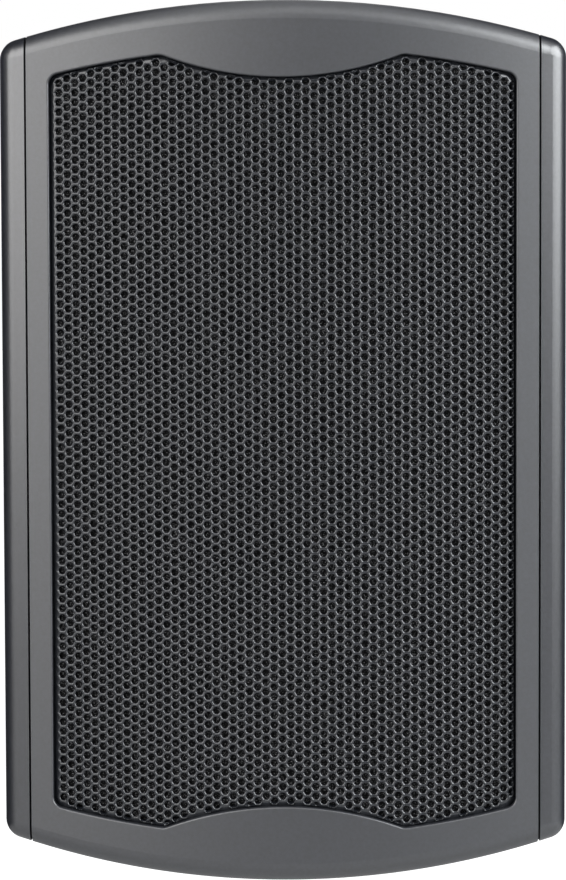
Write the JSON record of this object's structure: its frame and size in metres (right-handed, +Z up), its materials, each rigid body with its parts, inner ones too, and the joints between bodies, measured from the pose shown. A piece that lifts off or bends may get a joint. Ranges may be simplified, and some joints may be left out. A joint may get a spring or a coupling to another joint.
{
  "type": "wall speaker",
  "caption": "Two-way wall loudspeaker with a bowed perforated grille in a moulded bezel, side cheeks, a tapered back, push terminals and threaded bracket inserts.",
  "frame": {"origin": "middle of the four bracket inserts, on the flat back", "axes": "+Z up, +Y out of the back towards the wall, the grille faces -Y, +X to the right seen from the front"},
  "size_m": [0.2072, 0.176, 0.3214],
  "materials": {
    "housing_plastic": "fine moulded grain, satin dark grey",
    "grille_paint": "satin dark grey powder coat",
    "foam": "black open-cell foam",
    "black_rubber": "matte",
    "black_plastic": "matte black",
    "red_plastic": "gloss red",
    "black_gloss": "gloss black",
    "zinc_steel": "bright zinc",
    "black_steel": "black paint on pressed steel",
    "plain_steel": "turned and zinc plated",
    "brass": "bright",
    "copper_wire": "enamelled copper wire",
    "aluminium": "thin bright foil",
    "cone_paper": "black coated paper",
    "cap_cloth": "treated black cloth",
    "spider_cloth": "resin-treated cloth",
    "dome_cloth": "coated silk",
    "ferrite": "dark grey ferrite",
    "board": "brown laminate",
    "bobbin_plastic": "natural",
    "capacitor_film": "yellow film wrap",
    "cement": "white cement",
    "felt": "grey polyester felt"
  },
  "bodies": {
    "cabinet": {"front_housing": "housing_plastic", "front_bezel": "housing_plastic", "rear_shell": "housing_plastic", "grille": "grille_paint", "grille_foam": "foam", "bezel_grommets": "black_rubber", "housing_gasket": "black_rubber", "housing_screws": "zinc_steel", "bracket_inserts": "brass", "terminal_cup": "black_plastic", "terminal_gasket": "black_rubber", "terminal_contacts": "brass", "terminal_screws": "black_steel", "woofer_gasket": "black_rubber", "woofer_basket": "black_steel", "woofer_surround": "black_rubber", "woofer_front_ring": "black_plastic", "woofer_screws": "black_steel", "woofer_spider": "spider_cloth", "woofer_top_plate": "plain_steel", "woofer_magnet": "ferrite", "woofer_yoke": "plain_steel", "tweeter_faceplate": "black_plastic", "tweeter_gasket": "black_rubber", "tweeter_screws": "black_steel", "tweeter_surround": "dome_cloth", "tweeter_top_plate": "plain_steel", "tweeter_magnet": "ferrite", "tweeter_yoke": "plain_steel", "port_tube_left": "black_plastic", "port_tube_right": "black_plastic", "crossover_board": "board", "crossover_screws": "zinc_steel", "crossover_coil_bobbins": "bobbin_plastic", "crossover_coil_windings": "copper_wire", "crossover_capacitors": "capacitor_film", "crossover_resistor": "cement", "damping_pad_left": "felt", "damping_pad_right": "felt"},
    "woofer_diaphragm": {"woofer_cone": "cone_paper", "woofer_dust_cap": "cap_cloth", "woofer_coil_former": "aluminium", "woofer_coil_winding": "copper_wire"},
    "tweeter_diaphragm": {"tweeter_dome": "dome_cloth", "tweeter_coil": "copper_wire"},
    "red_lever": {"terminal_lever_red": "red_plastic"},
    "black_lever": {"terminal_lever_black": "black_gloss"}
  },
  "joints": [
    {"name": "woofer_travel", "type": "slide", "parent": "cabinet", "child": "woofer_diaphragm", "axis": [0, -1, 0], "range_m": [-0.003, 0.003], "stiffness_N_per_m": 1500, "deforming": ["woofer_surround", "woofer_spider"]},
    {"name": "tweeter_travel", "type": "slide", "parent": "cabinet", "child": "tweeter_diaphragm", "axis": [0, -1, 0], "range_m": [-0.0003, 0.0003], "stiffness_N_per_m": 2000, "deforming": ["tweeter_surround"]},
    {"name": "red_lever_press", "type": "hinge", "parent": "cabinet", "child": "red_lever", "pos_m": [0.0095, -0.0176, -0.108], "axis": [-1, 0, 0], "range_deg": [0, 18], "stiffness_Nm_per_rad": 0.05, "springref_deg": -17.19},
    {"name": "black_lever_press", "type": "hinge", "parent": "cabinet", "child": "black_lever", "pos_m": [-0.0095, -0.0176, -0.108], "axis": [-1, 0, 0], "range_deg": [0, 18], "stiffness_Nm_per_rad": 0.05, "springref_deg": -17.19}
  ]
}
